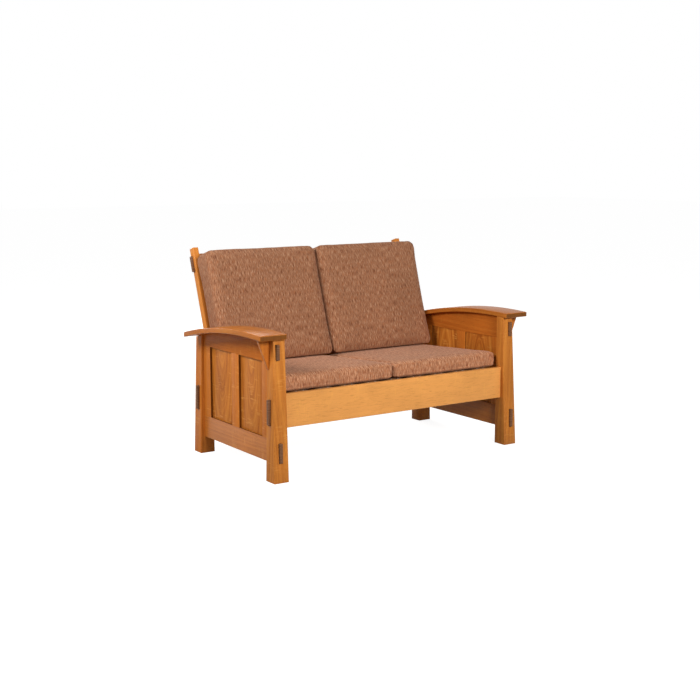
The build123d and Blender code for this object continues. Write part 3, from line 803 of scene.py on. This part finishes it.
# The groove along a seam, the puckers beside it and its stitches
GROOVE_WIDTH = 0.0055
GROOVE_DEPTH = 0.0022
PUCKER_SCALE = 70
PUCKER_DEPTH = 0.0011
PUCKER_REACH = 2.5
PUCKER_END = 6
PUCKER_STRETCH = (1, 1, 0.25)
STITCH_SPACING = 0.0065
STITCH_SIZE = (0.0042, 0.0009, 0.0009)


class CushionForm:
    """Where one cushion lies, in its own axes: across, along and out of its flat face."""

    def __init__(self, node):
        self.node = node
        self.kind = node.split("_")[0]
        way = slide_axis(node)
        along = -way if self.kind == "seat" else way
        across = Vector((1, 0, 0))
        self.axes = np.array([across, along, across.cross(along)])
        local = self.local(points_of(frame["nodes"][node].data))
        self.low = local.min(axis=0)
        self.high = local.max(axis=0)
        self.size = self.high - self.low
        self.middle = (self.high + self.low) / 2

    def local(self, points):
        """Points in the cushion's own axes."""
        return points @ self.axes.T

    def placed(self, local):
        """Points in the cushion's own axes, put back where the cushion lies."""
        return local @ self.axes


def points_of(mesh):
    """Every vertex of a mesh as one array."""
    points = np.empty(len(mesh.vertices) * 3)
    mesh.vertices.foreach_get("co", points)
    return points.reshape(-1, 3)


def set_points(mesh, points):
    """Moves every vertex of a mesh."""
    mesh.vertices.foreach_set("co", np.ascontiguousarray(points, dtype=np.float32).ravel())
    mesh.update()


def held(values, low, high, soft):
    """Numbers that come softly to rest against a low and a high limit."""
    top, foot = high - soft, low + soft
    above = top + soft * (1 - np.exp(-(values - top) / soft))
    below = foot - soft * (1 - np.exp(-(foot - values) / soft))
    return np.where(values > top, above, np.where(values < foot, below, values))


def stretched(values, low, high):
    """Numbers moved and scaled to run from low to high."""
    share = (values - values.min()) / (values.max() - values.min())
    return low + share * (high - low)


def squared(local, form):
    """Fills out the four upright corners of a cushion."""
    spot = (local - form.middle) / (form.size / 2)
    push = CORNER_FILL * (spot[:, 0] * spot[:, 1]) ** 4
    local[:, 0] += np.sign(spot[:, 0]) * push
    local[:, 1] += np.sign(spot[:, 1]) * push
    return local


def blown_up(piece, form):
    """Cloth simulation with pressure inside; no point moves further than the cap."""
    start = points_of(piece.data)
    cloth = piece.modifiers.new("cloth", "CLOTH")
    for name, value in CLOTH.items():
        setattr(cloth.settings, name, value)
    cloth.settings.effector_weights.gravity = 0
    cloth.point_cache.frame_start = 1
    cloth.point_cache.frame_end = LAST_FRAME
    for number in range(1, LAST_FRAME + 1):
        bpy.context.scene.frame_set(number)
    plain_mesh(piece)
    bpy.context.scene.frame_set(1)
    moves = form.local(points_of(piece.data) - start) * (SIDE_SHARE, SIDE_SHARE, 1)
    moves = form.placed(moves)
    lengths = np.linalg.norm(moves, axis=1, keepdims=True)
    set_points(piece.data, start + moves * np.minimum(1, MOST_MOVE / np.maximum(lengths, 1e-9)))


def softened(piece, rounds):
    """Smooths a piece and applies it."""
    smooth = piece.modifiers.new("soft edges", "SMOOTH")
    smooth.factor = 0.5
    smooth.iterations = rounds
    plain_mesh(piece)


def unevenness(points, seed, scale):
    """Gentle noise from -1 to 1 at each point, fixed by its seed."""
    shift = Vector((seed * 3.1, seed * 1.7, seed * 5.3))
    return np.array([noise.noise(Vector(point) * scale + shift) for point in points])


def normals_of(mesh):
    """Every vertex normal of a mesh as one array."""
    normals = np.empty(len(mesh.vertices) * 3)
    mesh.vertices.foreach_get("normal", normals)
    return normals.reshape(-1, 3)


def cloth_map(mesh, form):
    """UV map that follows the cloth: flat over the top, and down over the sides.

    It is in metres, so the weave keeps one scale on every cushion.
    """
    local = form.local(points_of(mesh))
    normals = form.local(normals_of(mesh))
    share = np.abs(normals) ** 3
    share /= share.sum(axis=1, keepdims=True)
    drop = np.minimum(local[:, 2] - form.low[2] - EDGE_HEIGHT[form.kind], 0)
    side = np.sign(local - form.middle)
    across = local[:, 0] - side[:, 0] * drop * share[:, 0]
    along = local[:, 1] - side[:, 1] * drop * share[:, 1]
    corners = np.empty(len(mesh.loops), dtype=np.int32)
    mesh.loops.foreach_get("vertex_index", corners)
    layer = mesh.uv_layers.new(name="cloth")
    layer.uv.foreach_set("vector", np.stack([across, along], axis=1)[corners].ravel())


def seam_loop(mesh, form, height):
    """Mesh of the closed line where a plane at a height cuts a cushion."""
    skin = bmesh.new()
    skin.from_mesh(mesh)
    out = Vector(form.axes[2])
    cut = bmesh.ops.bisect_plane(
        skin,
        geom=[*skin.verts, *skin.edges, *skin.faces],
        plane_co=out * (form.low[2] + height),
        plane_no=out,
    )
    edges = [item for item in cut["geom_cut"] if isinstance(item, bmesh.types.BMEdge)]
    numbers = {}
    for edge in edges:
        for vertex in edge.verts:
            numbers.setdefault(vertex, len(numbers))
    places = [vertex.co.copy() for vertex in numbers]
    links = [[numbers[vertex] for vertex in edge.verts] for edge in edges]
    skin.free()
    line = bpy.data.meshes.new(f"{form.node}_seam_line")
    line.from_pydata(places, links, [])
    return line


def even_copy(form):
    """Slightly smaller copy of a cushion's solid, with an even mesh and soft edges."""
    piece = new_piece(f"{form.node}_pad", merged_copy(form.node))
    local = form.local(points_of(piece.data))
    smaller = form.middle + (local - form.middle) * (1 - 2 * SMALLER / form.size)
    set_points(piece.data, form.placed(smaller))
    remesh = piece.modifiers.new("even mesh", "REMESH")
    remesh.mode = "VOXEL"
    remesh.voxel_size = VOXEL
    plain_mesh(piece)
    softened(piece, SOFT_BEFORE)
    return piece


def full_size(local, form):
    """Points stretched to the size of the cushion's solid, with full corners and shoulders."""
    spare = SIDE_SPARE[form.kind]
    local[:, 0] = stretched(local[:, 0], form.low[0] + spare, form.high[0] - spare)
    local[:, 1] = stretched(local[:, 1], form.low[1] - END_STRETCH, form.high[1] + END_STRETCH)
    local[:, 2] = stretched(local[:, 2], form.low[2] - FOOT_STRETCH, form.high[2])
    local = squared(local, form)
    share = np.clip((local[:, 2] - form.low[2]) / form.size[2], 0, 1)
    full = share + SHOULDERS * share**2 * (1 - share)
    local[:, 2] = form.low[2] + form.size[2] * full
    return local


def settled(local, normals, form, seed, lean_out):
    """Points that lean out, get a little uneven and stay inside the cushion's room."""
    up = np.clip((local[:, 1] - form.low[1]) / form.size[1], 0, 1)
    local[:, 0] += lean_out * up**2
    uneven = sum(unevenness(local, seed + more, scale) * depth for more, scale, depth in UNEVEN)
    local += normals * uneven[:, None]
    low = form.low[0] + min(lean_out, 0) * up**2
    high = form.high[0] + max(lean_out, 0) * up**2
    local[:, 0] = held(local[:, 0], low, high, HOLD[0])
    local[:, 1] = held(local[:, 1], form.low[1], form.high[1], HOLD[1])
    local[:, 2] = held(local[:, 2], form.low[2], form.high[2] + CROWN_ROOM, HOLD[2])
    return local


def groove(mesh, form, seed):
    """Draws the cloth in along its seam, with small puckers beside it."""
    points = points_of(mesh)
    local = form.local(points)
    normals = normals_of(mesh)
    away = (local[:, 2] - form.low[2] - SEAM_HEIGHT[form.kind]) / GROOVE_WIDTH
    depth = GROOVE_DEPTH * np.exp(-away**2)
    near = np.abs(away) < PUCKER_END
    waves = unevenness(local[near] * PUCKER_STRETCH, seed + PUCKER_SEED, PUCKER_SCALE)
    pucker = np.zeros(len(points))
    pucker[near] = waves * PUCKER_DEPTH * np.exp(-np.abs(away[near]) / PUCKER_REACH)
    set_points(mesh, points + normals * (pucker - depth)[:, None])


def stitch_seam(mesh, form, materials):
    """Row of stitches along the seam of a cushion."""
    line = seam_loop(mesh, form, SEAM_HEIGHT[form.kind])
    sizes = {"Spacing": STITCH_SPACING, "Stitch": STITCH_SIZE, "Material": materials["thread"]}
    stitches = materials["stitches"].grow(f"{form.node}_stitches", line, sizes)
    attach(stitches, form.node)


def cushion(node, seed, lean_out, materials):
    """One loose cushion, in place of its CAD solid."""
    form = CushionForm(node)
    piece = even_copy(form)
    blown_up(piece, form)
    softened(piece, SOFT_AFTER)
    local = full_size(form.local(points_of(piece.data)), form)
    normals = form.local(normals_of(piece.data))
    set_points(piece.data, form.placed(settled(local, normals, form, seed, lean_out)))
    subdivision = piece.modifiers.new("smooth", "SUBSURF")
    subdivision.levels = subdivision.render_levels = 1
    plain_mesh(piece)
    mesh = piece.data
    groove(mesh, form, seed)
    cloth_map(mesh, form)
    mesh.materials.clear()
    mesh.materials.append(materials[form.kind])
    mesh.polygons.foreach_set("use_smooth", [True] * len(mesh.polygons))
    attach(piece, node)
    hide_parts(node)
    stitch_seam(mesh, form, materials)


def cushions():
    """The two seat cushions and the two back cushions."""
    materials = {
        "seat": chenille("rust_chenille_seat", CLOTH_PAINTED_LIGHT["seat"]),
        "back": chenille("rust_chenille_back", CLOTH_PAINTED_LIGHT["back"]),
        "thread": seam_thread("seam_thread"),
        "stitches": stitch_tree(),
    }
    for seed, (side, lean_out) in enumerate(LEAN_OUT.items(), start=1):
        cushion(f"seat_cushion_{side}", seed, 0.0, materials)
        cushion(f"back_cushion_{side}", seed + BACK_SEED, lean_out, materials)


# Floor, backdrop and light

FLOOR_REACH = 30
FLOOR_GLOW = 0.895
FLOOR_WHITE = 0.40
AMBIENT = 0.24

# Lamps: name, place, what they point at, width and height, power, and colour
LAMPS = (
    ("front_softbox", (-0.4, -4.6, 2.5), (0, 0, 0.4), (2.2, 1.3), 196, (1.0, 0.97, 0.92)),
    ("left_softbox", (-2.6, 0.2, 2.2), (-0.3, 0, 0.6), (1.0, 0.9), 60, (1.0, 0.98, 0.96)),
    ("rear_softbox", (1.2, 4.8, 2.4), (0, 0, 0.5), (2.2, 1.6), 110, (1.0, 0.98, 0.95)),
)


def stage_material(name, glow, white):
    """Pale ground that the camera and reflections see as white, with the object's shadow."""
    shader = Shader(name)
    rays = ("Is Camera Ray", "Is Glossy Ray", "Is Transmission Ray")
    seen, mirrored, through = [shader.node("ShaderNodeLightPath", {}, (), ray) for ray in rays]
    surface = shader.surface.inputs
    surface["Base Color"].default_value = (white, white, white, 1)
    surface["Roughness"].default_value = 1.0
    surface["Specular IOR Level"].default_value = 0.0
    surface["Emission Strength"].default_value = 1.0
    shader.feed("Emission Color", (seen + mirrored + through).step(0, 1) * glow)
    return shader.material


def make_world():
    """White behind the object, for the camera, for gloss and for glass, and softer light."""
    world = bpy.data.worlds.new("studio")
    bpy.context.scene.world = world
    world.use_nodes = True
    tree = world.node_tree
    tree.nodes.clear()
    path = tree.nodes.new("ShaderNodeLightPath")
    mix = tree.nodes.new("ShaderNodeMixShader")
    out = tree.nodes.new("ShaderNodeOutputWorld")
    share = path.outputs["Is Camera Ray"]
    for ray in ("Is Glossy Ray", "Is Transmission Ray"):
        either = tree.nodes.new("ShaderNodeMath")
        either.operation = "MAXIMUM"
        tree.links.new(share, either.inputs[0])
        tree.links.new(path.outputs[ray], either.inputs[1])
        share = either.outputs[0]
    tree.links.new(share, mix.inputs[0])
    for place, strength in ((1, AMBIENT), (2, 1.0)):
        ground = tree.nodes.new("ShaderNodeBackground")
        ground.inputs["Color"].default_value = (1, 1, 1, 1)
        ground.inputs["Strength"].default_value = strength
        tree.links.new(ground.outputs[0], mix.inputs[place])
    tree.links.new(mix.outputs[0], out.inputs[0])


def make_floor():
    """Plain pale floor."""
    mesh = bpy.data.meshes.new("floor")
    signs = ((-1, -1), (1, -1), (1, 1), (-1, 1))
    corners = [(x * FLOOR_REACH, y * FLOOR_REACH, 0) for x, y in signs]
    mesh.from_pydata(corners, [], [(0, 1, 2, 3)])
    mesh.materials.append(stage_material("floor_ground", FLOOR_GLOW, FLOOR_WHITE))
    new_piece("floor", mesh)


def lamp(name, place, target, size, power, colour):
    """Large soft lamp that points at a target."""
    data = bpy.data.lights.new(name, "AREA")
    data.shape = "RECTANGLE"
    data.size, data.size_y = size
    data.energy = power
    data.color = colour
    light = bpy.data.objects.new(name, data)
    light.location = place
    way = Vector(target) - Vector(place)
    light.rotation_euler = way.to_track_quat("-Z", "Y").to_euler()
    bpy.context.scene.collection.objects.link(light)


steel = zinc_steel("zinc_steel")
oak_boards()
dark_caps()
deck_boards()
deck_screws(steel)
for screw_slot in frame["nodes"]["back_screws"].material_slots:
    screw_slot.material = steel
cushions()

make_world()
make_floor()
for values in LAMPS:
    lamp(*values)
bpy.context.scene.view_settings.view_transform = "Standard"
